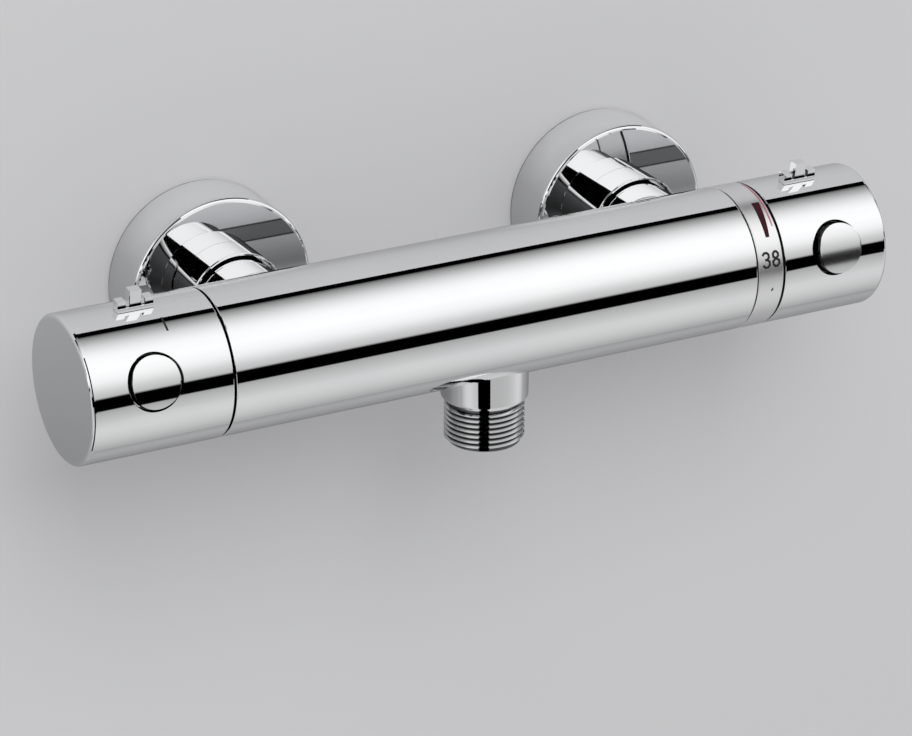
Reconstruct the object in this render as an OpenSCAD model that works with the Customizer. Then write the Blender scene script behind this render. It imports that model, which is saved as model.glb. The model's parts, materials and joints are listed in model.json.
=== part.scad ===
// Wall-mounted thermostatic shower mixer valve, bar type, with its internal works.
// Millimetres. +X along the bar towards the temperature handle, +Y into the wall, +Z up.
// Origin: midway between the two wall connections, in the plane of the finished wall.

/* [Bar] */
// distance from the wall plane to the bar's axis
axis_out = 70; // [60:0.5:90]
// height of the bar's axis over the wall connections, which is the eccentric offset of the wall unions
ecc = 7.5; // [0:0.5:12]
// outer radius of the bar
bar_r = 24; // [20:0.25:30]
// distance between the hot and cold wall connections
inlet_pitch = 150; // [120:1:160]
// left end of the bar
left_end = -153.5; // [-175:0.5:-140]
// middle of the gap between flow handle and body
flow_split = -105.5; // [-115:0.5:-98]
// left edge of the temperature scale ring
scale_left = 84; // [78:0.5:95]
// right edge of the temperature scale ring
scale_right = 94; // [88:0.5:105]
// right end of the bar
right_end = 135; // [120:0.5:150]
// width of the gap between a handle and the part beside it
handle_gap = 0.8; // [0.6:0.1:1.2]

/* [Outlet] */
// position of the outlet along the bar
outlet_x = -5; // [-20:0.5:20]
// radius of the outlet boss under the body
boss_r = 14.4; // [13:0.1:18]
// how far the boss reaches below the bar's axis
boss_drop = 31.5; // [28:0.5:36]
// how far the outlet thread reaches below the bar's axis
outlet_drop = 47; // [40:0.5:56]
// radius over the outlet thread's crests
outlet_thread_r = 13.22; // [10.4:0.01:16.7]
// radius of the outlet's waterway
outlet_bore_r = 9; // [6:0.1:10.5]

/* [Wall connection] */
// radius over the crests of the thread that goes into the wall
wall_thread_r = 10.4775; // [10.4:0.0005:13.3]
// depth of that thread behind the wall plane
wall_thread_len = 16; // [10:0.5:25]
// radius of the rosette
rosette_r = 32; // [28:0.5:40]
// distance from the wall plane to the rosette's front
rosette_out = 20; // [8:0.5:26]
// outer radius of the sleeve that stands out of the rosette
sleeve_r = 17; // [16.6:0.1:24]
// distance from the wall plane to the sleeve's mouth
sleeve_out = 31; // [24:0.5:42]
// outer radius of the round union nut
nut_r = 15.4; // [15:0.1:20]

/* [Handles] */
// wall thickness of the handle shells
shell_t = 2.1; // [1.6:0.1:3]
// radius of a round stop button
button_r = 8.4; // [6:0.1:9.5]
// gap around a stop button
button_gap = 0.9; // [0.3:0.05:1]
// position of the flow stop button along the bar
flow_button_x = -131.8; // [-140:0.1:-120]
// angle of the flow stop button above the horizontal
flow_button_a = 17.5; // [-10:0.5:60]
// how far the flow stop button stands proud of the handle
flow_button_proud = 0.9; // [0:0.1:4]
// position of the temperature stop button along the bar
temp_button_x = 115.1; // [105:0.1:122]
// angle of the temperature stop button above the horizontal
temp_button_a = 15; // [-10:0.5:60]
// how far the temperature stop button stands proud of the handle
temp_button_proud = 2.5; // [0:0.1:4]
// middle of the flow handle's finger grip along the bar
flow_grip_x = -129.8; // [-140:0.1:-120]
// middle of the temperature handle's finger grip along the bar
temp_grip_x = 111.6; // [105:0.1:122]

/* [Hidden] */
$fn = 96;
ix = inlet_pitch / 2;
body_l = flow_split + handle_gap / 2;      // left face of the body
fh_r = flow_split - handle_gap / 2;        // right rim of the flow handle
th_l = scale_right + handle_gap;           // left rim of the temperature handle
shell_in = bar_r - shell_t;                // inner radius of a handle shell
pitch = 1.814;                             // thread pitch of both pipe threads

// ---- helpers ----
module bar() { translate([0, -axis_out, ecc]) children(); }
module xrod(a, b, r) { translate([a, 0, 0]) rotate([0, 90, 0]) cylinder(h = b - a, r = r); }
module xcone(a, b, ra, rb) { translate([a, 0, 0]) rotate([0, 90, 0]) cylinder(h = b - a, r1 = ra, r2 = rb); }
module yrod(a, b, r) { translate([0, a, 0]) rotate([-90, 0, 0]) cylinder(h = b - a, r = r); }
module ycone(a, b, ra, rb) { translate([0, a, 0]) rotate([-90, 0, 0]) cylinder(h = b - a, r1 = ra, r2 = rb); }
module zrod(a, b, r) { translate([0, 0, a]) cylinder(h = b - a, r = r); }
module zcone(a, b, ra, rb) { translate([0, 0, a]) cylinder(h = b - a, r1 = ra, r2 = rb); }
// local +Z points out of the bar at angle a above the front horizontal
module radial(x, a) { translate([x, 0, 0]) rotate([90 - a, 0, 0]) children(); }
module xtorus(x, rm, rs) { translate([x, 0, 0]) rotate([0, 90, 0]) rotate_extrude() translate([rm, 0]) circle(r = rs); }
// a rod from a to b with rounded edges, of radius fa at a and fb at b
module smooth_rod(l, r, fa, fb) {
    na = fa < 1 ? 3 : 6;
    nb = fb < 1 ? 3 : 6;
    rotate_extrude() polygon(concat([[0, 0]],
        [for (i = [0:na]) let (t = i * 90 / na) [r - fa + fa * sin(t), fa - fa * cos(t)]],
        [for (i = [0:nb]) let (t = i * 90 / nb) [r - fb + fb * cos(t), l - fb + fb * sin(t)]],
        [[0, l]]));
}
module xsmooth(a, b, r, fa, fb) { translate([a, 0, 0]) rotate([0, 90, 0]) smooth_rod(b - a, r, fa, fb); }
module ysmooth(a, b, r, fa, fb) { translate([0, a, 0]) rotate([-90, 0, 0]) smooth_rod(b - a, r, fa, fb); }
module zsmooth(a, b, r, fa, fb) { translate([0, 0, a]) smooth_rod(b - a, r, fa, fb); }
// a slab between x=a and x=b covering the angles a0 to a1 above the front horizontal
module sector(a, b, a0, a1, r) {
    n = ceil((a1 - a0) / 30);
    translate([a, 0, 0]) rotate([90, 0, 90]) linear_extrude(b - a)
        polygon(concat([[0, 0]], [for (i = [0:n]) let (t = a0 + (a1 - a0) * i / n) [-cos(t) * r * 1.3, sin(t) * r * 1.3]]));
}
// thread ridges from z=0 up, as rings with flat crests, with a core of radius core_r bored to bore_r
module ridges(n, major, depth, bore_r, lead) {
    rotate_extrude()
        polygon(concat([[bore_r, -lead], [major - depth, -lead]],
            [for (i = [0:n - 1]) each [[major - depth, i * pitch + 0.12], [major, i * pitch + 0.6], [major, i * pitch + 1.2], [major - depth, i * pitch + 1.68]]],
            [[major - depth, n * pitch], [bore_r, n * pitch]]));
}
// coils of a compression spring along +Z, as rings tied by a thin strip
module rings(rm, rs, len, n) {
    for (i = [0:n - 1]) translate([0, 0, rs + i * (len - 2 * rs) / (n - 1)]) rotate_extrude() translate([rm, 0]) circle(r = rs, $fn = 24);
    translate([rm - rs * 0.5, -rs * 0.4, rs]) cube([rs, rs * 0.8, len - 2 * rs]);
}
module flats(a, b, w) { translate([a, -30, -w / 2]) cube([b - a, 60, w]); }

// ---- body ----
module valve_body() color("silver") bar() difference() {
    union() {
        xsmooth(body_l, scale_left, bar_r, 0.3, 0.4);
        xrod(scale_left - 1, scale_right + 0.2, 20);
        // round seat of the cold inlet, which the scale ring is notched around
        intersection() {
            translate([ix, 0, 0]) yrod(10, 30, 13.4);
            xrod(scale_left - 4, scale_right - 1, bar_r - 0.05);
        }
        translate([outlet_x, 0, 0]) zsmooth(-boss_drop, -15, boss_r, 1.3, 0.1);
    }
    // flow headwork chamber, and the thermostat chamber with its nose
    xrod(body_l - 1, -88, 12.5);
    xrod(22, 36.2, 10);
    xrod(36.2, 88, 15.5);
    xrod(88, scale_right + 1, 18);
    // hot, mixed and outlet waterways along the bar
    translate([0, 16, 0]) xrod(-81, 50, 4.5);
    translate([0, 0, 10]) xrod(-89, 30, 5);
    translate([0, 0, -10]) xrod(-89, outlet_x + 5, 5);
    // inlets from the back
    translate([-ix, 0, 0]) yrod(16, 30, 7.5);
    translate([ix, 0, 0]) yrod(12, 30, 7.5);
    translate([-ix, 0, 0]) yrod(19, 30, 11.55);
    translate([ix, 0, 0]) yrod(19, 30, 11.55);
    // outlet
    translate([outlet_x, 0, 0]) zrod(-boss_drop - 1, -20, 11.2);
    translate([outlet_x, 0, 0]) zrod(-21, -10, 7.5);
}

module outlet_nipple() color("silver") bar() translate([outlet_x, 0, 0]) difference() {
    union() {
        zrod(-boss_drop - 0.6, -23.9, 11.15);
        zrod(-23.9, -21.5, 9.6);
        zrod(-boss_drop - 0.7, -boss_drop - 0.05, 12.4);
        translate([0, 0, -outlet_drop + 0.5]) ridges(8, outlet_thread_r, 1.16, outlet_bore_r - 0.5, 0.5);
    }
    zrod(-outlet_drop - 1, -20, outlet_bore_r);
    zcone(-outlet_drop - 0.01, -outlet_drop + 0.8, outlet_bore_r + 0.8, outlet_bore_r);
}

module outlet_o_ring() color("dimgray") bar() translate([outlet_x, 0, -22.7]) rotate_extrude() translate([10.4, 0]) circle(r = 0.78);

module scale_ring() color("silver") bar() difference() {
    xsmooth(scale_left + 0.4, scale_right, bar_r, 0.4, 0.4);
    xrod(scale_left - 1, scale_right + 1, 20.02);
    translate([ix, 0, 0]) yrod(10, 30, 13.5);
}

// ---- flow side ----
module flow_headwork() color("goldenrod") bar() difference() {
    union() {
        xrod(-107, -91.6, 12.42);
        translate([-110.5, 0, 0]) rotate([0, 90, 0]) cylinder(h = 5, r = 15.6, $fn = 6);
        xrod(-113, -110, 8);
    }
    xrod(-98.2, -90, 10.2);
    xrod(-114, -95, 5.06);
    translate([-100.4, 0, 0]) rotate([0, 90, 0]) rotate_extrude() translate([11.3, -0.95]) square([2, 1.9]);
}
module flow_headwork_o_ring() color("dimgray") bar() xtorus(-100.4, 11.95, 0.52);
module flow_port_seal() color("dimgray") bar() difference() {
    xrod(-89.4, -88.05, 11.8);
    for (s = [-1, 1]) translate([0, 0, s * 6.6]) xrod(-95, -85, 3);
}
module flow_fixed_disc() color("white") bar() difference() {
    xrod(-91.55, -89.45, 12.2);
    for (s = [-1, 1]) translate([0, 0, s * 6.2]) xrod(-95, -85, 2.8);
}
module flow_moving_disc() color("white") bar() difference() {
    xrod(-94.1, -91.6, 9.8);
    // bridging recess on the sealing face, and the driver's slot on the other
    intersection() {
        translate([-92.7, -10, -3]) cube([2, 20, 6]);
        xrod(-95, -90, 9);
    }
    translate([-95, -1.55, -30]) cube([1.9, 3.1, 60]);
}
module flow_spindle() color("goldenrod") bar() {
    xrod(-97.9, -94.15, 9.6);
    translate([-94.3, -1.5, -9]) cube([1.1, 3, 18]);
    xrod(-113.5, -97.8, 5);
    intersection() { xrod(-147.5, -113.4, 5); flats(-148, -113, 8.4); }
}
module flow_stop_ring() color("dimgray") bar() {
    difference() { xrod(-113, -110.6, 14); xrod(-114, -110, 8.03); }
    difference() {
        intersection() { xrod(-116.2, -112.9, 14); sector(-116.2, -112.9, 12, 258, 14); }
        xrod(-117, -112, 10.6);
    }
}
module flow_handle_hub() color("dimgray") bar() difference() {
    union() {
        xrod(left_end + 3, -143, shell_in - 0.03);
        xrod(-143.1, -117.6, 9.2);
        difference() { intersection() { xrod(-117.7, -114, 14); sector(-117.7, -114, -99, -81, 14); } xrod(-118, -113, 10.6); }
        xrod(-117.7, -116.6, 14);
        radial(flow_button_x, flow_button_a) zrod(0, 12.2, 6.4);
    }
    intersection() { xrod(-148, -110, 5.05); flats(-149, -109, 8.5); }
    radial(flow_button_x, flow_button_a) { zrod(6.2, 13, 3.4); zrod(10, 13, 5.4); }
    radial(left_end + 7, -90) zrod(3, 23, 2.05);
}
module flow_handle_shell() color("silver") bar() difference() {
    xsmooth(left_end, fh_r, bar_r, 1.5, 0.3);
    xrod(left_end + 3, fh_r + 1, shell_in);
    radial(flow_button_x, flow_button_a) zrod(10, 40, button_r + button_gap);
    radial(left_end + 7, -90) zrod(18, 40, 2.4);
    // seat of the finger grip
    radial(flow_grip_x, 84) translate([-5, -1.6, bar_r - 1.2]) cube([10, 3.2, 5]);
}
module flow_handle_screw() color("dimgray") bar() radial(left_end + 7, -90) difference() {
    zrod(4.25, 22.4, 2.0);
    translate([0, 0, 20]) cylinder(h = 5, r = 1.15, $fn = 6);
}
module grip(x) bar() {
    radial(x, 84) {
        translate([-4.95, -1.55, bar_r - 1.15]) cube([9.9, 3.1, 3]);
        translate([-6, -1.9, bar_r + 0.05]) cube([12, 3.8, 1.2]);
        translate([-6, -1.7, bar_r + 0.2]) cube([2.8, 3.4, 3.4]);
        translate([3.2, -1.7, bar_r + 0.2]) cube([2.8, 3.4, 3.4]);
        translate([-1.9, -1.7, bar_r + 0.2]) cube([3.8, 3.4, 6.6]);
    }
}
module flow_handle_grip() color("silver") grip(flow_grip_x);
module flow_stop_button() color("silver") bar() stop_button(flow_button_x, flow_button_a, flow_button_proud);
module stop_button(x, a, proud) {
    intersection() {
        xrod(x - 20, x + 20, bar_r + proud);
        radial(x, a) zsmooth(16.6, bar_r + proud, button_r, 0.1, 0.8);
    }
    // retaining flange under the shell
    intersection() {
        xrod(x - 20, x + 20, shell_in - 0.3);
        radial(x, a) zrod(15.6, 30, button_r + button_gap + 0.6);
    }
    radial(x, a) zrod(8.9, 16, 3.34);
}
module flow_button_spring() color("gray") bar() radial(flow_button_x, flow_button_a) translate([0, 0, 10.05]) rings(4.4, 0.4, 5.5, 5);

// ---- thermostat ----
module thermo_seat() color("ivory") bar() difference() {
    union() {
        xrod(26, 36.3, 9.92);
        xrod(36.3, 37.6, 15.42);
        xrod(37.5, 49, 13.4);
    }
    xrod(25, 39, 7);
    xrod(38, 50, 10.4);
    translate([30.5, 0, 0]) rotate([0, 90, 0]) rotate_extrude() translate([8.7, -1]) square([3, 2]);
}
module thermo_nose_o_ring() color("dimgray") bar() xtorus(30.5, 9.33, 0.6);
module thermo_housing() color("ivory") bar() difference() {
    union() {
        xrod(49, 80, 13.4);
        xrod(53.5, 58.5, 15.42);
        xrod(83, 88, 15.42);
        xrod(79, 90, 13.4);
        xrod(88.05, 90, 17.6);
        xrod(89.9, 100, 11.8);
    }
    xrod(48, 63, 12);
    intersection() { xrod(62, 80, 10.4); flats(61, 81, 17); }
    xrod(79.9, 82.3, 7.35);
    xrod(82, 101, 5.06);
    // inlet windows for hot and cold water
    for (a = [0, 90]) rotate([a, 0, 0]) {
        translate([48.9, -5, -20]) cube([2.5, 10, 40]);
        translate([60.6, -5, -20]) cube([2.4, 10, 40]);
    }
    for (x = [56, 85.5]) translate([x, 0, 0]) rotate([0, 90, 0]) rotate_extrude() translate([14.2, -1]) square([3, 2]);
}
module thermo_o_rings() color("dimgray") bar() { xtorus(56, 14.83, 0.6); xtorus(85.5, 14.83, 0.6); }
module thermo_retaining_nut() color("goldenrod") bar() difference() {
    xrod(90.05, 93.9, 17.9);
    xrod(89, 95, 12.6);
    for (a = [0:60:300]) rotate([a, 0, 0]) translate([92, -1.25, 14]) cube([3, 2.5, 5]);
}
module temp_stop_ring() color("dimgray") bar() {
    difference() { xrod(95, 97, 17); xrod(94, 98, 11.83); }
    difference() {
        intersection() { xrod(96.9, 101, 17); sector(96.9, 101, -23, 108, 17); }
        xrod(95, 102, 14);
    }
}
module thermo_spindle() color("goldenrod") bar() {
    xrod(74.9, 80.4, 3.4);
    xrod(80.3, 82, 7);
    xrod(81.9, 102, 5);
    intersection() { xrod(101.9, 126, 5); flats(100, 127, 8.4); }
}
module temp_handle_hub() color("dimgray") bar() difference() {
    union() {
        xrod(125.6, right_end - 3, shell_in - 0.03);
        xrod(102.6, 125.7, 9.2);
        xrod(102.6, 103.9, 17);
        difference() { intersection() { xrod(98.2, 103, 17); sector(98.2, 103, -99, -81, 17); } xrod(97, 104, 14); }
        radial(temp_button_x, temp_button_a) zrod(0, 12.2, 6.4);
    }
    intersection() { xrod(101, 127, 5.05); flats(101, 127, 8.5); }
    radial(temp_button_x, temp_button_a) { zrod(6.2, 13, 3.4); zrod(10, 13, 5.4); }
    radial(right_end - 7, -90) zrod(3, 23, 2.05);
}
module temp_handle_shell() color("silver") bar() difference() {
    xsmooth(th_l, right_end, bar_r, 0.3, 1.5);
    xrod(th_l - 1, right_end - 3, shell_in);
    radial(temp_button_x, temp_button_a) zrod(10, 40, button_r + button_gap);
    radial(right_end - 7, -90) zrod(18, 40, 2.4);
    radial(temp_grip_x, 84) translate([-5, -1.6, bar_r - 1.2]) cube([10, 3.2, 5]);
}
module temp_handle_screw() color("dimgray") bar() radial(right_end - 7, -90) difference() {
    zrod(4.25, 22.4, 2.0);
    translate([0, 0, 20]) cylinder(h = 5, r = 1.15, $fn = 6);
}
module temp_handle_grip() color("silver") grip(temp_grip_x);
module temp_stop_button() color("silver") bar() stop_button(temp_button_x, temp_button_a, temp_button_proud);
module temp_button_spring() color("gray") bar() radial(temp_button_x, temp_button_a) translate([0, 0, 10.05]) rings(4.4, 0.4, 5.5, 5);

// regulating nut, piston, wax element and shuttle, which travel together along the bar
module regulating_nut() color("goldenrod") bar() difference() {
    intersection() { xrod(66.5, 78, 9.9); flats(66, 79, 16.4); }
    xrod(66, 73, 6.6);
    xrod(72, 79, 3.45);
}
module overload_spring() color("gray") bar() translate([68.05, 0, 0]) rotate([0, 90, 0]) rings(5.6, 0.55, 4.9, 4);
module wax_piston() color("silver") bar() { xrod(61, 67, 1.5); xrod(66.9, 68, 6.4); }
module wax_element() color("goldenrod") bar() difference() {
    union() { xrod(32, 53.5, 4.2); xrod(53.4, 57.5, 5.6); xrod(57.4, 61.5, 3.4); }
    xrod(60.9, 62, 1.55);
}
module thermo_shuttle() color("ivory") bar() {
    difference() { xrod(50.5, 61.5, 11.94); xrod(50, 62, 9.7); }
    difference() {
        intersection() {
            xrod(54.2, 56.8, 10.5);
            union() for (a = [0, 60, 120]) rotate([a, 0, 0]) translate([54, -1.5, -12]) cube([4, 3, 24]);
        }
        xrod(54, 57, 5.65);
    }
}
module thermo_return_spring() color("gray") bar() translate([38.05, 0, 0]) rotate([0, 90, 0]) rings(8.4, 0.7, 16.1, 6);

// ---- inlets, drawn about the axis of the bar's inlet at x = 0 ----
module inlet(s) translate([s * ix, 0, ecc]) children();
module tail() color("silver") difference() {
    union() {
        yrod(-51, -36, 11.5);
        yrod(-36.05, -31, 12.9);
    }
    yrod(-52, -48.5, 6.4);
    yrod(-48.6, -30, 7.5);
    translate([0, -49.3, 0]) rotate([-90, 0, 0]) rotate_extrude() translate([10, -0.8]) square([3, 1.6]);
}
module inlet_tail_hot() inlet(-1) tail();
module inlet_tail_cold() inlet(1) tail();
module tail_o_rings() color("dimgray") for (s = [-1, 1]) inlet(s) translate([0, -49.3, 0]) rotate([-90, 0, 0]) rotate_extrude() translate([10.76, 0]) circle(r = 0.72);
module check_housing() color("white") difference() {
    union() { yrod(-48.3, -34, 7.4); yrod(-34.05, -33, 7.45); }
    yrod(-49, -37.4, 5.9);
    yrod(-38, -32, 4.4);
    ycone(-38.2, -37, 5.9, 4.4);
}
module check_spider() color("white") {
    difference() {
        union() {
            intersection() { yrod(-48.3, -46.8, 6.2); for (a = [0, 60, 120]) rotate([0, a, 0]) translate([-8, -49, -0.7]) cube([16, 3, 1.4]); }
            yrod(-48.3, -45.8, 2.2);
        }
        yrod(-49, -45, 1.15);
    }
}
module check_housing_hot() inlet(-1) { check_housing(); check_spider(); }
module check_housing_cold() inlet(1) { check_housing(); check_spider(); }
module poppet() color("gray") {
    ycone(-40.3, -38.0, 5.4, 4.2);
    yrod(-41.3, -40.2, 5.4);
    yrod(-48.6, -41.2, 1.08);
}
module check_poppet_hot() inlet(-1) poppet();
module check_poppet_cold() inlet(1) poppet();
module check_spring() color("gray") translate([0, -45.75, 0]) rotate([-90, 0, 0]) rings(3.2, 0.3, 4.4, 4);
module check_spring_hot() inlet(-1) check_spring();
module check_spring_cold() inlet(1) check_spring();
module union_nut() color("silver") difference() {
    ysmooth(-45.4, -22, nut_r, 0.6, 0.4);
    yrod(-46, -35, 11.6);
    yrod(-36.1, -21, 13.35);
}
module union_nut_hot() inlet(-1) union_nut();
module union_nut_cold() inlet(1) union_nut();
module union_washers() color("dimgray") for (s = [-1, 1]) inlet(s) difference() { yrod(-30.95, -29.05, 13.1); yrod(-32, -28, 9); }
module strainer() color("gray") difference() {
    union() { yrod(-30.9, -29.6, 8.9); yrod(-29.7, -23.5, 6.6); }
    yrod(-32, -24.3, 6);
    for (i = [-2:2], j = [-2:2]) if (abs(i) + abs(j) < 4) translate([i * 2, 0, j * 2]) yrod(-25, -22, 0.7);
}
module strainer_hot() inlet(-1) strainer();
module strainer_cold() inlet(1) strainer();
// eccentric union: valve thread on the inlet's axis, wall thread lower by the offset
module s_union() color("silver") difference() {
    union() {
        translate([0, -29, 0]) rotate([-90, 0, 0]) translate([0, 0, 0.5]) ridges(8, outlet_thread_r, 1.16, 8, 0.5);
        yrod(-14.2, -9, 12.6);
        intersection() { translate([0, 0, -ecc / 2]) yrod(-11, -2.5, 17); translate([-14.5, -20, -30]) cube([29, 30, 60]); }
        translate([0, 0, -ecc]) {
            yrod(-3, 0.6, 9.3);
            translate([0, wall_thread_len - 8 * pitch, 0]) rotate([-90, 0, 0]) ridges(8, wall_thread_r, 1.16, 7, wall_thread_len - 8 * pitch);
        }
    }
    yrod(-30, -6, 9);
    translate([0, 0, -ecc]) yrod(-8.5, wall_thread_len + 1, 8);
}
module s_union_hot() inlet(-1) s_union();
module s_union_cold() inlet(1) s_union();
module cover_sleeve() color("silver") difference() {
    union() {
        ysmooth(-sleeve_out, -14, sleeve_r, 0.35, 0.1);
        yrod(-rosette_out + 2.55, -14, sleeve_r + 2.4);
    }
    yrod(-sleeve_out - 1, -17, sleeve_r - 0.8);
    yrod(-18, -13, outlet_thread_r + 0.1);
}
module cover_sleeve_hot() inlet(-1) cover_sleeve();
module cover_sleeve_cold() inlet(1) cover_sleeve();
module rosette() color("silver") difference() {
    ysmooth(-rosette_out, -1, rosette_r, 1.5, 0.1);
    yrod(-rosette_out + 2.5, 1, rosette_r - 2);
    yrod(-rosette_out - 1, 1, sleeve_r + 0.03);
}
module rosette_hot() inlet(-1) rosette();
module rosette_cold() inlet(1) rosette();
module rosette_seal() color("dimgray") difference() { yrod(-1, 0, rosette_r - 0.3); yrod(-2, 1, rosette_r - 3.3); }
module rosette_seal_hot() inlet(-1) rosette_seal();
module rosette_seal_cold() inlet(1) rosette_seal();

valve_body();
outlet_nipple();
outlet_o_ring();
scale_ring();
flow_headwork();
flow_headwork_o_ring();
flow_port_seal();
flow_fixed_disc();
flow_stop_ring();
flow_spindle();
flow_moving_disc();
flow_handle_hub();
flow_handle_shell();
flow_handle_grip();
flow_handle_screw();
flow_stop_button();
flow_button_spring();
thermo_housing();
thermo_seat();
thermo_nose_o_ring();
thermo_o_rings();
thermo_retaining_nut();
temp_stop_ring();
thermo_spindle();
temp_handle_hub();
temp_handle_shell();
temp_handle_grip();
temp_handle_screw();
temp_stop_button();
temp_button_spring();
regulating_nut();
overload_spring();
wax_element();
wax_piston();
thermo_shuttle();
thermo_return_spring();
inlet_tail_hot();
inlet_tail_cold();
tail_o_rings();
check_housing_hot();
check_housing_cold();
check_poppet_hot();
check_poppet_cold();
check_spring_hot();
check_spring_cold();
union_nut_hot();
union_nut_cold();
union_washers();
strainer_hot();
strainer_cold();
s_union_hot();
s_union_cold();
cover_sleeve_hot();
cover_sleeve_cold();
rosette_hot();
rosette_cold();
rosette_seal_hot();
rosette_seal_cold();
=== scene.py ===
import bpy, bmesh, json, math
from mathutils import Matrix, Vector

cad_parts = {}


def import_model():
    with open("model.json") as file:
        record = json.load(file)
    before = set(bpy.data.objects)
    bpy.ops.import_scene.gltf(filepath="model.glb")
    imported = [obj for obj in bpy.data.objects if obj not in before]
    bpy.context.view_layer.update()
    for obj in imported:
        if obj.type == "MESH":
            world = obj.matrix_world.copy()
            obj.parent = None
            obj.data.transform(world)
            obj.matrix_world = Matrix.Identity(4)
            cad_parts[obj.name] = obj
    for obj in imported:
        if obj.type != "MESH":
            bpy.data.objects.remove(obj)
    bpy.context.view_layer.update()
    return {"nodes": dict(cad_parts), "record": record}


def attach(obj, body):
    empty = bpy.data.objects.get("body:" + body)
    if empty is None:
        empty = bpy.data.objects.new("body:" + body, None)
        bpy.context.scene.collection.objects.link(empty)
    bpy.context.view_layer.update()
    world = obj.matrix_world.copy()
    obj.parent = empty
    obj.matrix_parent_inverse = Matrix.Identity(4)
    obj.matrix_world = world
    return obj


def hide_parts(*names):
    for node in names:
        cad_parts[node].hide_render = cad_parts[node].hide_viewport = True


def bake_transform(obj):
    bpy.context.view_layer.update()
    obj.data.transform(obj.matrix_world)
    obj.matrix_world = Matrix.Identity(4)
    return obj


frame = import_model()
nodes = frame["nodes"]

MM = 0.001
AX_Y, AX_Z = -0.070, 0.0075          # the bar's axis
BAR_R = 24.0

# ------------------------------------------------------------------ materials
def new_mat(name):
    m = bpy.data.materials.new(name)
    m.use_nodes = True
    nt = m.node_tree
    b = nt.nodes["Principled BSDF"]
    return m, nt, b


def noise(nt, scale, detail=3.0, stretch=None, seed=0.0):
    tc = nt.nodes.new("ShaderNodeTexCoord")
    mp = nt.nodes.new("ShaderNodeMapping")
    mp.inputs["Location"].default_value = (seed, seed * 0.7, seed * 1.3)
    if stretch:
        mp.inputs["Scale"].default_value = stretch
    n = nt.nodes.new("ShaderNodeTexNoise")
    n.inputs["Scale"].default_value = scale
    n.inputs["Detail"].default_value = detail
    nt.links.new(tc.outputs["Object"], mp.inputs["Vector"])
    nt.links.new(mp.outputs["Vector"], n.inputs["Vector"])
    return n


def ramp(nt, src, a, b, lo=0.3, hi=0.7):
    r = nt.nodes.new("ShaderNodeValToRGB")
    r.color_ramp.elements[0].position = lo
    r.color_ramp.elements[1].position = hi
    r.color_ramp.elements[0].color = a if len(a) == 4 else (*a, 1)
    r.color_ramp.elements[1].color = b if len(b) == 4 else (*b, 1)
    nt.links.new(src, r.inputs["Fac"])
    return r


def span(nt, src, lo, hi):
    m = nt.nodes.new("ShaderNodeMapRange")
    m.inputs["To Min"].default_value = lo
    m.inputs["To Max"].default_value = hi
    nt.links.new(src, m.inputs["Value"])
    return m


def metal(name, c1, c2, r1, r2, scale=60, bump=0.0, bump_scale=900, stretch=None, seed=0.0):
    m, nt, b = new_mat(name)
    b.inputs["Metallic"].default_value = 1.0
    n = noise(nt, scale, 4.0, stretch, seed)
    nt.links.new(ramp(nt, n.outputs["Fac"], c1, c2).outputs["Color"], b.inputs["Base Color"])
    nt.links.new(span(nt, n.outputs["Fac"], r1, r2).outputs["Result"], b.inputs["Roughness"])
    if bump:
        n2 = noise(nt, bump_scale, 2.0, stretch, seed + 3)
        bp = nt.nodes.new("ShaderNodeBump")
        bp.inputs["Strength"].default_value = bump
        bp.inputs["Distance"].default_value = 0.0001
        nt.links.new(n2.outputs["Fac"], bp.inputs["Height"])
        nt.links.new(bp.outputs["Normal"], b.inputs["Normal"])
    return m


def plastic(name, c1, c2, r1, r2, bump=0.15, scale=250, seed=0.0, coat=0.0):
    m, nt, b = new_mat(name)
    n = noise(nt, scale, 4.0, None, seed)
    nt.links.new(ramp(nt, n.outputs["Fac"], c1, c2).outputs["Color"], b.inputs["Base Color"])
    nt.links.new(span(nt, n.outputs["Fac"], r1, r2).outputs["Result"], b.inputs["Roughness"])
    b.inputs["Coat Weight"].default_value = coat
    n2 = noise(nt, 1600, 3.0, None, seed + 5)
    bp = nt.nodes.new("ShaderNodeBump")
    bp.inputs["Strength"].default_value = bump
    bp.inputs["Distance"].default_value = 0.0001
    nt.links.new(n2.outputs["Fac"], bp.inputs["Height"])
    nt.links.new(bp.outputs["Normal"], b.inputs["Normal"])
    return m


CHROME = metal("chrome", (0.87, 0.875, 0.885), (0.90, 0.905, 0.91), 0.018, 0.045, 25)
CHROME_RAW = metal("chrome_over_turned_brass", (0.80, 0.80, 0.81), (0.88, 0.88, 0.885), 0.08, 0.16, 300, 0.25, 700, (1, 8, 1), 2)
BRASS = metal("turned_brass", (0.74, 0.53, 0.23), (0.86, 0.66, 0.34), 0.16, 0.30, 120, 0.3, 500, (6, 1, 1), 4)
STEEL = metal("spring_steel", (0.55, 0.56, 0.57), (0.70, 0.71, 0.72), 0.15, 0.28, 200, 0.2, 900, None, 6)
RUBBER = plastic("black_rubber", (0.012, 0.012, 0.013), (0.03, 0.03, 0.031), 0.55, 0.75, 0.4, 300, 1)
SEAL = plastic("grey_sealing_foam", (0.26, 0.26, 0.265), (0.34, 0.34, 0.345), 0.6, 0.8, 0.4, 400, 15)
WHITE = plastic("ivory_moulding", (0.72, 0.70, 0.64), (0.80, 0.78, 0.72), 0.35, 0.5, 0.15, 200, 7)
GREY = plastic("grey_moulding", (0.07, 0.073, 0.08), (0.11, 0.113, 0.12), 0.4, 0.55, 0.2, 200, 8)
CERAMIC = plastic("lapped_ceramic", (0.80, 0.79, 0.76), (0.86, 0.85, 0.82), 0.12, 0.2, 0.03, 150, 9, 0.4)
SATIN = metal("satin_chrome", (0.86, 0.865, 0.87), (0.90, 0.90, 0.905), 0.28, 0.33, 60, 0.04, 1200, None, 12)


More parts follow.
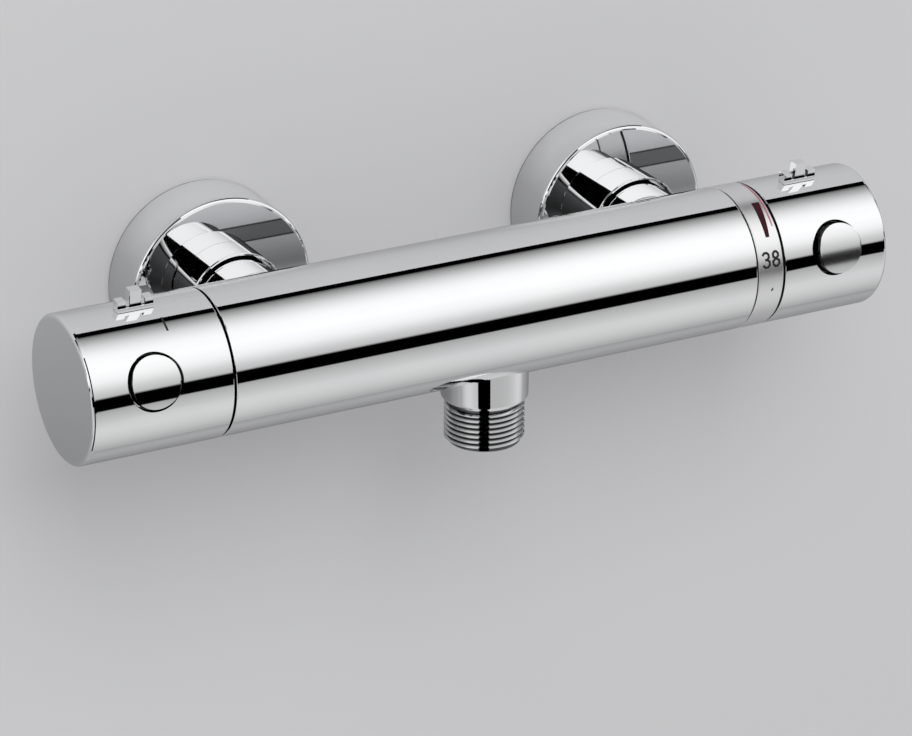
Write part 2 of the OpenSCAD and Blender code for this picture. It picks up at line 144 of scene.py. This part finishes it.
def thread_metal():
    """Slightly rougher chrome, its base colour darkened in the roots of the outlet thread as painted shade."""
    m = metal("chrome_thread_painted_root_shade", (0.86, 0.865, 0.875), (0.90, 0.905, 0.91), 0.05, 0.09, 40, 0.0, 900, None, 14)
    t = m.node_tree
    b = t.nodes["Principled BSDF"]
    src = b.inputs["Base Color"].links[0].from_socket
    co = t.nodes.new("ShaderNodeTexCoord")
    off_ = t.nodes.new("ShaderNodeVectorMath")
    off_.operation = "ADD"
    off_.inputs[1].default_value = (0.005, 0.070, 0.0)
    flat = t.nodes.new("ShaderNodeVectorMath")
    flat.operation = "MULTIPLY"
    flat.inputs[1].default_value = (1, 1, 0)
    ln = t.nodes.new("ShaderNodeVectorMath")
    ln.operation = "LENGTH"
    t.links.new(co.outputs["Object"], off_.inputs[0])
    t.links.new(off_.outputs["Vector"], flat.inputs[0])
    t.links.new(flat.outputs["Vector"], ln.inputs[0])
    # painted shade: base colour scaled to 0.14 inside 12.3 mm of the outlet axis, back to full by 12.9 mm
    mr = t.nodes.new("ShaderNodeMapRange")
    mr.inputs["From Min"].default_value, mr.inputs["From Max"].default_value = 0.0123, 0.0129
    mr.inputs["To Min"].default_value, mr.inputs["To Max"].default_value = 0.14, 1.0
    t.links.new(ln.outputs["Value"], mr.inputs["Value"])
    sc = t.nodes.new("ShaderNodeVectorMath")
    sc.operation = "SCALE"
    t.links.new(src, sc.inputs[0])
    t.links.new(mr.outputs["Result"], sc.inputs["Scale"])
    t.links.new(sc.outputs["Vector"], b.inputs["Base Color"])
    return m


def button_chrome_gap_shade(name, x, angle, r1, r2):
    """Chrome on a button's face; its side and its flange, at angle degrees above the front, get a near-black base
    colour as painted shade of the gap round the button.
    """
    m = metal(name, (0.86, 0.865, 0.875), (0.89, 0.895, 0.90), r1, r2, 40, 0.0, 900, None, 13)
    t = m.node_tree
    b = t.nodes["Principled BSDF"]
    src = b.inputs["Base Color"].links[0].from_socket
    co = t.nodes.new("ShaderNodeTexCoord")
    way = (0.0, -math.cos(math.radians(angle)), math.sin(math.radians(angle)))

    def vec(op, a, c):
        n = t.nodes.new("ShaderNodeVectorMath")
        n.operation = op
        t.links.new(a, n.inputs[0])
        n.inputs[1].default_value = c
        return n

    def fade(src_, lo, hi, v0, v1):
        n = t.nodes.new("ShaderNodeMapRange")
        n.inputs["From Min"].default_value, n.inputs["From Max"].default_value = lo, hi
        n.inputs["To Min"].default_value, n.inputs["To Max"].default_value = v0, v1
        t.links.new(src_, n.inputs["Value"])
        return n.outputs["Result"]

    # painted shade: base colour falls to 0.03 on the button's side and on its flange beyond about 8.6 mm from its axis
    up_ = fade(vec("DOT_PRODUCT", co.outputs["Normal"], way).outputs["Value"], 0.80, 0.92, 0.03, 1.0)
    rim = vec("CROSS_PRODUCT", vec("SUBTRACT", co.outputs["Object"], (x, AX_Y, AX_Z)).outputs["Vector"], way)
    ln = t.nodes.new("ShaderNodeVectorMath")
    ln.operation = "LENGTH"
    t.links.new(rim.outputs["Vector"], ln.inputs[0])
    far = fade(ln.outputs["Value"], 0.0085, 0.0087, 1.0, 0.03)
    low = t.nodes.new("ShaderNodeMath")
    low.operation = "MINIMUM"
    t.links.new(up_, low.inputs[0])
    t.links.new(far, low.inputs[1])
    sc = t.nodes.new("ShaderNodeVectorMath")
    sc.operation = "SCALE"
    t.links.new(src, sc.inputs[0])
    t.links.new(low.outputs[0], sc.inputs["Scale"])
    t.links.new(sc.outputs["Vector"], b.inputs["Base Color"])
    return m


THREAD_CHROME_ROOT_SHADE = thread_metal()
TEMP_CAP = button_chrome_gap_shade("temp_button_chrome", 0.1151, 15.0, 0.14, 0.18)
FLOW_CAP = button_chrome_gap_shade("flow_button_chrome", -0.1318, 17.5, 0.018, 0.045)
SLOTS = {"chrome": CHROME, "brass": BRASS, "steel": STEEL, "rubber": RUBBER, "white_plastic": WHITE,
         "grey_plastic": GREY, "ceramic": CERAMIC}
slot_of = {s["node"]: s["material_slot"] for s in frame["record"]["subparts"]}
for name, o in nodes.items():
    m = SLOTS[slot_of[name]]
    if name.startswith("s_union"):
        m = CHROME_RAW
    if name.startswith("rosette_seal"):
        m = SEAL
    if name == "scale_ring":
        m = SATIN
    if name == "temp_stop_button":
        m = TEMP_CAP
    if name == "flow_stop_button":
        m = FLOW_CAP
    o.data.materials.clear()
    o.data.materials.append(m)


# ------------------------------------------------------------------ mesh helpers
def obj(name, verts, faces, mat, normals=None, smooth=True):
    me = bpy.data.meshes.new(name)
    me.from_pydata([tuple(v) for v in verts], [], faces)
    me.materials.append(mat)
    me.polygons.foreach_set("use_smooth", [smooth] * len(me.polygons))
    me.update()
    if normals is not None:
        me.normals_split_custom_set_from_vertices([tuple(n) for n in normals])
    o = bpy.data.objects.new(name, me)
    bpy.context.scene.collection.objects.link(o)
    return o


# ------------------------------------------------------------------ coil springs
def coil(name, node, body, origin, axis, rm, rs, length, turns, to=None):
    """A compression spring with closed ends in place of its CAD node; origin and axis in the row frame, sizes in mm.
    With to, it is baked in place and attached to no body."""
    o_, ax = Vector(origin), Vector(axis).normalized()
    u = ax.orthogonal().normalized()
    w = ax.cross(u)
    steps, ring = 28, 10
    total = turns + 1.5
    n = int(total * steps)
    verts, norms, faces = [], [], []
    for k in range(n + 1):
        s_ = k / steps
        f = min(max((s_ - 0.75) / turns, 0), 1)
        h = (rs + (length - 2 * rs) * (0.02 * min(s_, 0.75) + 0.97 * f + 0.02 * min(max(total - s_, 0), 0.75) * -1 + 0.015)) * MM
        a = 2 * math.pi * s_
        rad = math.cos(a) * u + math.sin(a) * w
        tan = (-math.sin(a) * u + math.cos(a) * w).normalized()
        side = tan.cross(rad).normalized()
        c = o_ + rad * rm * MM + ax * h
        for q in range(ring):
            b = 2 * math.pi * q / ring
            d = math.cos(b) * rad + math.sin(b) * side
            verts.append(c + d * rs * 0.95 * MM)
            norms.append(d)
        if k:
            for q in range(ring):
                i, j2 = (k - 1) * ring + q, (k - 1) * ring + (q + 1) % ring
                faces.append((i, j2, j2 + ring, i + ring))
    faces.append(tuple(range(ring)))
    faces.append(tuple(n * ring + q for q in reversed(range(ring))))
    ob = obj(name, verts, faces, STEEL)
    if to:
        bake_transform(ob)
    else:
        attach(ob, body)
    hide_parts(node)
    return ob


def radial_dir(a):
    a = math.radians(a)
    return Vector((0, -math.cos(a), math.sin(a)))


for pre, bx, ba in (("flow", -131.8, 17.5), ("temp", 115.1, 15.0)):
    d = radial_dir(ba)
    coil(pre + "_button_coil", pre + "_button_spring", pre + "_handle", Vector((bx * MM, AX_Y, AX_Z)) + d * 10.05 * MM, d, 4.4, 0.4, 5.5, 2, pre + "_button")
coil("overload_coil", "overload_spring", "thermostat", (68.05 * MM, AX_Y, AX_Z), (1, 0, 0), 5.6, 0.55, 4.9, 2.6)
coil("return_coil", "thermo_return_spring", "valve", (38.05 * MM, AX_Y, AX_Z), (1, 0, 0), 8.4, 0.7, 16.1, 5, "thermostat")
for s_, nm in ((-1, "hot"), (1, "cold")):
    coil("check_coil_" + nm, "check_spring_" + nm, "valve", (s_ * 0.075, -45.75 * MM, AX_Z), (0, 1, 0), 3.2, 0.3, 4.4, 2.4, nm + "_check")

# ------------------------------------------------------------------ outlet nipple with a true screw thread
def lathe(profile, cx, cy, cz, n=128):
    """A closed outline of (radius, height) in mm turned about a vertical axis; every outline edge keeps its own crease."""
    verts, norms, faces = [], [], []
    for (r0, z0), (r1, z1) in zip(profile, profile[1:] + profile[:1]):
        dr, dz = r1 - r0, z1 - z0
        L = math.hypot(dr, dz)
        nr, nz = dz / L, -dr / L
        base = len(verts)
        for k in range(n):
            a = 2 * math.pi * k / n
            c, s_ = math.cos(a), math.sin(a)
            for r, z in ((r0, z0), (r1, z1)):
                verts.append((cx + r * c * MM, cy + r * s_ * MM, cz + z * MM))
                norms.append((nr * c, nr * s_, nz))
        for k in range(n):
            i, j2 = base + 2 * k, base + 2 * ((k + 1) % n)
            faces.append((i, j2, j2 + 1, i + 1))
    return verts, norms, faces


def thread(verts, norms, faces, cx, cy, cz, root, crest, z0, turns, pitch, half_root, half_crest, steps=72):
    """Adds a right-hand ridge that fades in and out at its ends."""
    n = int(turns * steps)
    strips = ((-half_root, root, -half_crest, crest), (-half_crest, crest, half_crest, crest), (half_crest, crest, half_root, root))
    for h0, r0, h1, r1 in strips:
        base = len(verts)
        dr, dz = r1 - r0, h1 - h0
        L = math.hypot(dr, dz)
        nr, nz = dz / L, -dr / L
        for k in range(n + 1):
            t = k / steps
            fade = min(1.0, t / 0.3, (turns - t) / 0.3)
            a = 2 * math.pi * t
            c, s_ = math.cos(a), math.sin(a)
            for h, r in ((h0, r0), (h1, r1)):
                rr_ = root + (r - root) * max(fade, 0.0)
                verts.append((cx + rr_ * c * MM, cy + rr_ * s_ * MM, cz + (z0 + pitch * t + h) * MM))
                norms.append((nr * c, nr * s_, nz))
            if k:
                i = base + 2 * (k - 1)
                faces.append((i, i + 2, i + 3, i + 1))


prof = [(9.8, -47.0), (11.5, -47.0), (12.02, -46.5), (12.02, -32.2), (12.4, -32.15), (12.4, -31.6), (11.15, -31.55),
        (11.15, -23.9), (9.6, -23.9), (9.6, -21.5), (9.0, -21.5), (9.0, -46.2)]
OX = -5.0 * MM
nv, nn, nf = lathe(prof, OX, AX_Y, AX_Z)
lathe_faces = len(nf)
thread(nv, nn, nf, OX, AX_Y, AX_Z, 11.98, 13.22, -46.0, 7.5, 1.814, 0.86, 0.17)
nip = obj("outlet_nipple_threaded", nv, nf, CHROME, nn)
nip.data.materials.append(THREAD_CHROME_ROOT_SHADE)
for k_, poly_ in enumerate(nip.data.polygons):
    if k_ >= lathe_faces or k_ // 128 in (2, 3):      # the ridge and the core under it
        poly_.material_index = 1
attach(nip, "valve")
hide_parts("outlet_nipple")

# ------------------------------------------------------------------ printed marks
def ink(name, c):
    m, nt, b = new_mat(name)
    n = noise(nt, 900, 3.0, None, 11)
    nt.links.new(ramp(nt, n.outputs["Fac"], tuple(v * 0.8 for v in c), c).outputs["Color"], b.inputs["Base Color"])
    nt.links.new(span(nt, n.outputs["Fac"], 0.45, 0.6).outputs["Result"], b.inputs["Roughness"])
    b.inputs["Specular IOR Level"].default_value = 0.12
    return m


def printed(name, polys, mat, body, r=BAR_R + 0.02):
    """Flat outlines (x in mm, angle above the front in degrees) laid on the bar's surface and cut small along the angle."""
    bm = bmesh.new()
    for poly in polys:
        bm.faces.new([bm.verts.new((x, t, 0)) for x, t in poly])
    lo = min(t for p in polys for _, t in p)
    hi = max(t for p in polys for _, t in p)
    n = max(2, int((hi - lo) / 1.5))
    for k in range(1, n):
        t = lo + (hi - lo) * k / n
        bmesh.ops.bisect_plane(bm, geom=bm.verts[:] + bm.edges[:] + bm.faces[:], plane_co=(0, t, 0), plane_no=(0, 1, 0))
    bmesh.ops.triangulate(bm, faces=bm.faces[:])
    bm.verts.index_update()
    verts, norms = [], []
    for v in bm.verts:
        a = math.radians(v.co.y)
        norms.append((0, -math.cos(a), math.sin(a)))
        verts.append((v.co.x * MM, AX_Y - r * MM * math.cos(a), AX_Z + r * MM * math.sin(a)))
    faces = [tuple(v.index for v in f.verts) for f in bm.faces]
    bm.free()
    fixed = []
    for f in faces:
        p = [Vector(verts[i]) for i in f]
        nf = (p[1] - p[0]).cross(p[2] - p[0])
        fixed.append(f if nf.dot(Vector(norms[f[0]])) > 0 else tuple(reversed(f)))
    o = obj(name, verts, fixed, mat, norms)
    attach(o, body)
    return o


def strokes(path, w, x0, t0, sx=1.0):
    """Outlines of a stroke of width w (mm) along a path given in mm, placed at x0 (mm) and t0 (degrees)."""
    deg = 180 / math.pi / BAR_R
    out = []
    for (ax, ay), (bx, by) in zip(path, path[1:]):
        dx, dy = bx - ax, by - ay
        L = math.hypot(dx, dy)
        ux, uy = dx / L, dy / L
        ax, ay, bx, by = ax - ux * w * 0.3, ay - uy * w * 0.3, bx + ux * w * 0.3, by + uy * w * 0.3
        nx, ny = -uy * w / 2, ux * w / 2
        out.append([(x0 + px * sx, t0 + py * deg) for px, py in ((ax + nx, ay + ny), (bx + nx, by + ny), (bx - nx, by - ny), (ax - nx, ay - ny))])
    return out


INK_DARK = ink("print_dark", (0.03, 0.028, 0.03))
INK_RED = ink("print_deep_red", (0.055, 0.009, 0.016))
INK_ROSE = ink("print_rose", (0.55, 0.20, 0.25))
three = [(0.1, 4.3), (0.7, 4.9), (1.7, 4.9), (2.3, 4.2), (2.3, 3.3), (1.6, 2.6), (1.0, 2.6), (1.6, 2.6), (2.4, 1.9), (2.4, 0.8), (1.7, 0.1), (0.7, 0.1), (0.0, 0.8)]
eight = [(1.2, 2.65), (0.4, 3.3), (0.4, 4.2), (1.0, 4.9), (1.7, 4.9), (2.3, 4.2), (2.3, 3.3), (1.4, 2.65), (0.2, 1.8), (0.2, 0.8), (0.9, 0.1), (1.8, 0.1), (2.5, 0.8), (2.5, 1.8), (1.4, 2.65)]
printed("scale_number", strokes(three, 0.8, 86.3, 10.3) + strokes(eight, 0.8, 89.9, 10.3), INK_DARK, "valve")
printed("scale_pointer", [[(89.6, -10.8), (90.3, -9.0), (90.1, -7.2), (89.4, -9.0)]], INK_DARK, "valve")
printed("scale_hot_wedge", [[(89.3, 66), (89.0, 50), (89.0, 34), (90.4, 34), (91.3, 50), (92.2, 66)]], INK_RED, "valve")
printed("scale_hot_line", [[(93.45, 95), (92.9, 95), (92.75, 66), (92.5, 50), (92.5, 42), (92.9, 42), (93.1, 50), (93.5, 66)]], INK_ROSE, "valve", BAR_R + 0.015)
printed("flow_mark", [[(-123.9, 67), (-123.9, 54), (-123.2, 54), (-123.2, 67)]], INK_DARK, "flow_handle")

# ------------------------------------------------------------------ camera
cam_d = bpy.data.cameras.new("camera")
cam = bpy.data.objects.new("camera", cam_d)
bpy.context.scene.collection.objects.link(cam)
bpy.context.scene.camera = cam
cam_d.lens = 4003.938 * 36 / 912
cam_d.sensor_width = 36
cam_d.clip_start, cam_d.clip_end = 0.05, 50
right = Vector((0.87967241, -0.47553719, 0.00639041))
up = Vector((0.18315156, 0.35114239, 0.91823446))
back = Vector((-0.43889858, -0.80657511, 0.39598565))
rot = Matrix((right, up, back)).transposed()
cam.matrix_world = Matrix.Translation((-0.58495528, -1.11636989, 0.49377501 + AX_Z)) @ rot.to_4x4()

# ------------------------------------------------------------------ wall
wm, wnt, wb = new_mat("wall_paint")
wn = noise(wnt, 3.0, 2.0)
wall_c = ramp(wnt, wn.outputs["Fac"], (0.735, 0.735, 0.742), (0.755, 0.755, 0.762))
# painted shade: glossy rays see the wall in its own colour ramp, darkest just below the bar where its shadow falls
wall_g = wnt.nodes.new("ShaderNodeMix")
wall_g.data_type = "RGBA"
wlp = wnt.nodes.new("ShaderNodeLightPath")
wnt.links.new(wlp.outputs["Is Glossy Ray"], wall_g.inputs["Factor"])
wnt.links.new(wall_c.outputs["Color"], wall_g.inputs["A"])
wtc = wnt.nodes.new("ShaderNodeTexCoord")
wsep = wnt.nodes.new("ShaderNodeSeparateXYZ")
wnt.links.new(wtc.outputs["Object"], wsep.inputs["Vector"])
wz = wnt.nodes.new("ShaderNodeMapRange")
wz.inputs["From Min"].default_value, wz.inputs["From Max"].default_value = -0.4, 0.1
wnt.links.new(wsep.outputs["Z"], wz.inputs["Value"])
wzr = wnt.nodes.new("ShaderNodeValToRGB")
wzr.color_ramp.elements[0].position, wzr.color_ramp.elements[0].color = 0.0, (0.56, 0.56, 0.565, 1)
wzr.color_ramp.elements[1].position, wzr.color_ramp.elements[1].color = 1.0, (0.74, 0.74, 0.745, 1)
for pz, v in ((0.3, 0.51), (0.6, 0.40), (0.7, 0.38), (0.8, 0.47), (0.87, 0.57), (0.93, 0.70)):
    x = wzr.color_ramp.elements.new(pz)
    x.color = (v, v, v * 1.01, 1)
wnt.links.new(wz.outputs["Result"], wzr.inputs["Fac"])


def wmath(op, a, b=None, clamp=False):
    n = wnt.nodes.new("ShaderNodeMath")
    n.operation = op
    n.use_clamp = clamp
    for k, v in enumerate((a, b)):
        if isinstance(v, (int, float)):
            n.inputs[k].default_value = v
        elif v is not None:
            wnt.links.new(v, n.inputs[k])
    return n.outputs[0]


# painted light: the patch of wall close above each rosette is brighter in its side, for reflected rays only
dx = wmath("SUBTRACT", wmath("ABSOLUTE", wsep.outputs["X"]), 0.075)
dz = wmath("SUBTRACT", wsep.outputs["Z"], AX_Z)
rr = wmath("SQRT", wmath("ADD", wmath("MULTIPLY", dx, dx), wmath("MULTIPLY", dz, dz)))
near = wmath("MULTIPLY", wmath("SUBTRACT", 0.052, rr), 80.0, True)
high = wmath("MULTIPLY", wmath("SUBTRACT", dz, 0.012), 60.0, True)
painted_light_lift = wmath("MULTIPLY", wmath("MULTIPLY", near, high), 0.18)
wadd = wnt.nodes.new("ShaderNodeVectorMath")
wadd.operation = "ADD"
wnt.links.new(wzr.outputs["Color"], wadd.inputs[0])
wnt.links.new(painted_light_lift, wadd.inputs[1])
# painted shade: a dark band with darker edges on the wall beside each rosette, for rays after two mirrors, seen in its
# face by way of the bar's back
side_l = wmath("MULTIPLY", wmath("GREATER_THAN", wsep.outputs["X"], -0.046), wmath("LESS_THAN", wsep.outputs["X"], -0.004))
side_r = wmath("MULTIPLY", wmath("GREATER_THAN", wsep.outputs["X"], 0.104), wmath("LESS_THAN", wsep.outputs["X"], 0.170))
side = wmath("MULTIPLY", wmath("ADD", side_l, side_r, True), wmath("GREATER_THAN", wlp.outputs["Glossy Depth"], 1.5))
wb_z = wnt.nodes.new("ShaderNodeMapRange")
wb_z.inputs["From Min"].default_value, wb_z.inputs["From Max"].default_value = 0.0, 0.05
wnt.links.new(wsep.outputs["Z"], wb_z.inputs["Value"])
wb_r = wnt.nodes.new("ShaderNodeValToRGB")
wb_r.color_ramp.elements[0].position, wb_r.color_ramp.elements[0].color = 0.18, (0, 0, 0, 1)
wb_r.color_ramp.elements[1].position, wb_r.color_ramp.elements[1].color = 0.80, (0, 0, 0, 1)
for pz, v in ((0.19, 0.92), (0.23, 0.92), (0.25, 0.66), (0.72, 0.70), (0.74, 0.92), (0.79, 0.92)):
    x = wb_r.color_ramp.elements.new(pz)
    x.color = (v, v, v, 1)
wnt.links.new(wb_z.outputs["Result"], wb_r.inputs["Fac"])
wscale = wnt.nodes.new("ShaderNodeVectorMath")
wscale.operation = "SCALE"
wnt.links.new(wadd.outputs["Vector"], wscale.inputs[0])
# and painted shade: what shows only after three mirrors, in the hollow between rosette, sleeve and bar, is darkened to
# 0.12
deep = wmath("SUBTRACT", 1.0, wmath("MULTIPLY", wmath("GREATER_THAN", wlp.outputs["Glossy Depth"], 2.5), 0.88))
painted_band_shade = wmath("SUBTRACT", 1.0, wmath("MULTIPLY", side, wb_r.outputs["Color"]))
wnt.links.new(wmath("MULTIPLY", painted_band_shade, deep), wscale.inputs["Scale"])
wnt.links.new(wscale.outputs["Vector"], wall_g.inputs["B"])
wnt.links.new(wall_g.outputs["Result"], wb.inputs["Base Color"])
wb.inputs["Roughness"].default_value = 0.9
wb.inputs["Specular IOR Level"].default_value = 0.0
# drawn from its front side only, so that views from behind aren't blocked
tr = wnt.nodes.new("ShaderNodeBsdfTransparent")
mx = wnt.nodes.new("ShaderNodeMixShader")
gm = wnt.nodes.new("ShaderNodeNewGeometry")
out = wnt.nodes["Material Output"]
wnt.links.new(gm.outputs["Backfacing"], mx.inputs["Fac"])
wnt.links.new(wb.outputs["BSDF"], mx.inputs[1])
wnt.links.new(tr.outputs["BSDF"], mx.inputs[2])
wnt.links.new(mx.outputs["Shader"], out.inputs["Surface"])
W = 6.0
wall = obj("wall", [(-W, 0, -W), (W, 0, -W), (W, 0, W), (-W, 0, W)], [(0, 1, 2, 3)], wm, smooth=False)

# ------------------------------------------------------------------ studio light
# The room is described by the angle around the bar, 0 straight out of the wall and 90 overhead.
world = bpy.data.worlds.new("studio")
bpy.context.scene.world = world
world.use_nodes = True
nt = world.node_tree
bg = nt.nodes["Background"]
tc = nt.nodes.new("ShaderNodeTexCoord")
sep = nt.nodes.new("ShaderNodeSeparateXYZ")
nt.links.new(tc.outputs["Generated"], sep.inputs["Vector"])


def math_node(op, a, b=None):
    n = nt.nodes.new("ShaderNodeMath")
    n.operation = op
    for k, v in enumerate((a, b)):
        if v is None:
            continue
        if isinstance(v, (int, float)):
            n.inputs[k].default_value = v
        else:
            nt.links.new(v, n.inputs[k])
    return n.outputs[0]


minus_y = math_node("MULTIPLY", sep.outputs["Y"], -1.0)
ang = math_node("ARCTAN2", sep.outputs["Z"], minus_y)
fac = math_node("ADD", math_node("DIVIDE", ang, 2 * math.pi), 0.5)      # 0.5 is straight out, 0.75 overhead
cr = nt.nodes.new("ShaderNodeValToRGB")
stops = [(-180, 0.45), (-90, 0.425), (-84, 0.47), (-78, 0.54), (-66, 0.64), (-54, 0.705), (-45, 0.70), (-36, 0.62), (-24, 0.50),
         (-18.2, 0.42), (-17.2, 0.0), (0.6, 0.0), (2.2, 0.54), (6, 0.60), (12, 0.70), (18, 0.84), (24, 0.97), (32, 1.06), (45, 1.13),
         (60, 1.09), (66, 1.03), (72, 0.93), (78, 0.80), (84, 0.65), (90, 0.6), (180, 0.5)]
e = cr.color_ramp.elements
while len(e) > 1:
    e.remove(e[-1])
e[0].position = 0.0
e[0].color = (stops[0][1],) * 3 + (1,)
for a, v in stops[1:]:
    x = e.new(a / 360 + 0.5)
    x.color = (v, v, v, 1)
nt.links.new(fac, cr.inputs["Fac"])
lp = nt.nodes.new("ShaderNodeLightPath")
plain = nt.nodes.new("ShaderNodeBackground")
plain.inputs["Color"].default_value = (0.58, 0.58, 0.59, 1)
plain.inputs["Strength"].default_value = 1.0
soft = nt.nodes.new("ShaderNodeBackground")
soft.inputs["Color"].default_value = (0.525, 0.525, 0.532, 1)
mixd = nt.nodes.new("ShaderNodeMixShader")
mixw = nt.nodes.new("ShaderNodeMixShader")
# a dark upright strip on the side where the camera stands
azim = math_node("ARCTAN2", sep.outputs["X"], minus_y)
off = math_node("ABSOLUTE", math_node("ADD", azim, math.radians(28.5)))
in_az = math_node("LESS_THAN", off, math.radians(16))
in_z = math_node("LESS_THAN", sep.outputs["Z"], 0.95)
keep = math_node("SUBTRACT", 1.0, math_node("MULTIPLY", in_az, in_z))
dim = nt.nodes.new("ShaderNodeVectorMath")
dim.operation = "SCALE"
nt.links.new(cr.outputs["Color"], dim.inputs[0])
nt.links.new(keep, dim.inputs["Scale"])
nt.links.new(dim.outputs["Vector"], bg.inputs["Color"])
bg.inputs["Strength"].default_value = 1.0
nt.links.new(lp.outputs["Is Camera Ray"], mixw.inputs["Fac"])
nt.links.new(lp.outputs["Is Diffuse Ray"], mixd.inputs["Fac"])
nt.links.new(bg.outputs["Background"], mixd.inputs[1])
nt.links.new(soft.outputs["Background"], mixd.inputs[2])
nt.links.new(mixd.outputs["Shader"], mixw.inputs[1])
nt.links.new(plain.outputs["Background"], mixw.inputs[2])
nt.links.new(mixw.outputs["Shader"], nt.nodes["World Output"].inputs["Surface"])


def area(name, loc, target, size, size_y, power, glossy=False):
    d = bpy.data.lights.new(name, "AREA")
    d.shape = "RECTANGLE"
    d.size, d.size_y = size, size_y
    d.energy = power
    o = bpy.data.objects.new(name, d)
    o.location = loc
    o.rotation_euler = (Vector(target) - Vector(loc)).to_track_quat("-Z", "Y").to_euler()
    bpy.context.scene.collection.objects.link(o)
    o.visible_glossy = glossy
    return o


area("key", (-0.6, -2.2, 2.0), (0, 0, 0), 1.7, 1.7, 31)

# a curved reflector over the bar, seen in reflections only: white, then a dark edge beside the wall
tm = bpy.data.materials.new("reflector")
tm.use_nodes = True
tnt = tm.node_tree
tnt.nodes.clear()
t_out = tnt.nodes.new("ShaderNodeOutputMaterial")
t_em = tnt.nodes.new("ShaderNodeEmission")
t_uv = tnt.nodes.new("ShaderNodeTexCoord")
t_sep = tnt.nodes.new("ShaderNodeSeparateXYZ")
tnt.links.new(t_uv.outputs["UV"], t_sep.inputs["Vector"])
t_cr = tnt.nodes.new("ShaderNodeValToRGB")
TENT_R, TENT_A, TENT_B = 0.218, 80.0, 104.4
tel = t_cr.color_ramp.elements
while len(tel) > 1:
    tel.remove(tel[-1])
tel[0].position = 0.0
tel[0].color = (0.665, 0.665, 0.67, 1)
for a, v in ((86.6, 0.46), (92.4, 0.29), (95.3, 0.14), (96.8, 0.0), (104.4, 0.0)):
    x = tel.new((a - TENT_A) / (TENT_B - TENT_A))
    x.color = (v, v, v, 1)
tnt.links.new(t_sep.outputs["Y"], t_cr.inputs["Fac"])
tnt.links.new(t_cr.outputs["Color"], t_em.inputs["Color"])
tnt.links.new(t_em.outputs["Emission"], t_out.inputs["Surface"])
tv, tf, tuv = [], [], []
TN = 54
for k in range(TN + 1):
    a = math.radians(TENT_A + (TENT_B - TENT_A) * k / TN)
    y, z = AX_Y - TENT_R * math.cos(a), AX_Z + TENT_R * math.sin(a)
    tv += [(-0.7, y, z), (0.9, y, z)]
    if k:
        tf.append((2 * k - 2, 2 * k - 1, 2 * k + 1, 2 * k))
tent = obj("reflector", tv, tf, tm)
uvl = tent.data.uv_layers.new(name="UVMap")
for lp_ in tent.data.loops:
    uvl.data[lp_.index].uv = (0.5, (lp_.vertex_index // 2) / TN)
for flag in ("visible_camera", "visible_diffuse", "visible_transmission", "visible_shadow", "visible_volume_scatter"):
    setattr(tent, flag, False)

bpy.context.scene.view_settings.view_transform = "Standard"
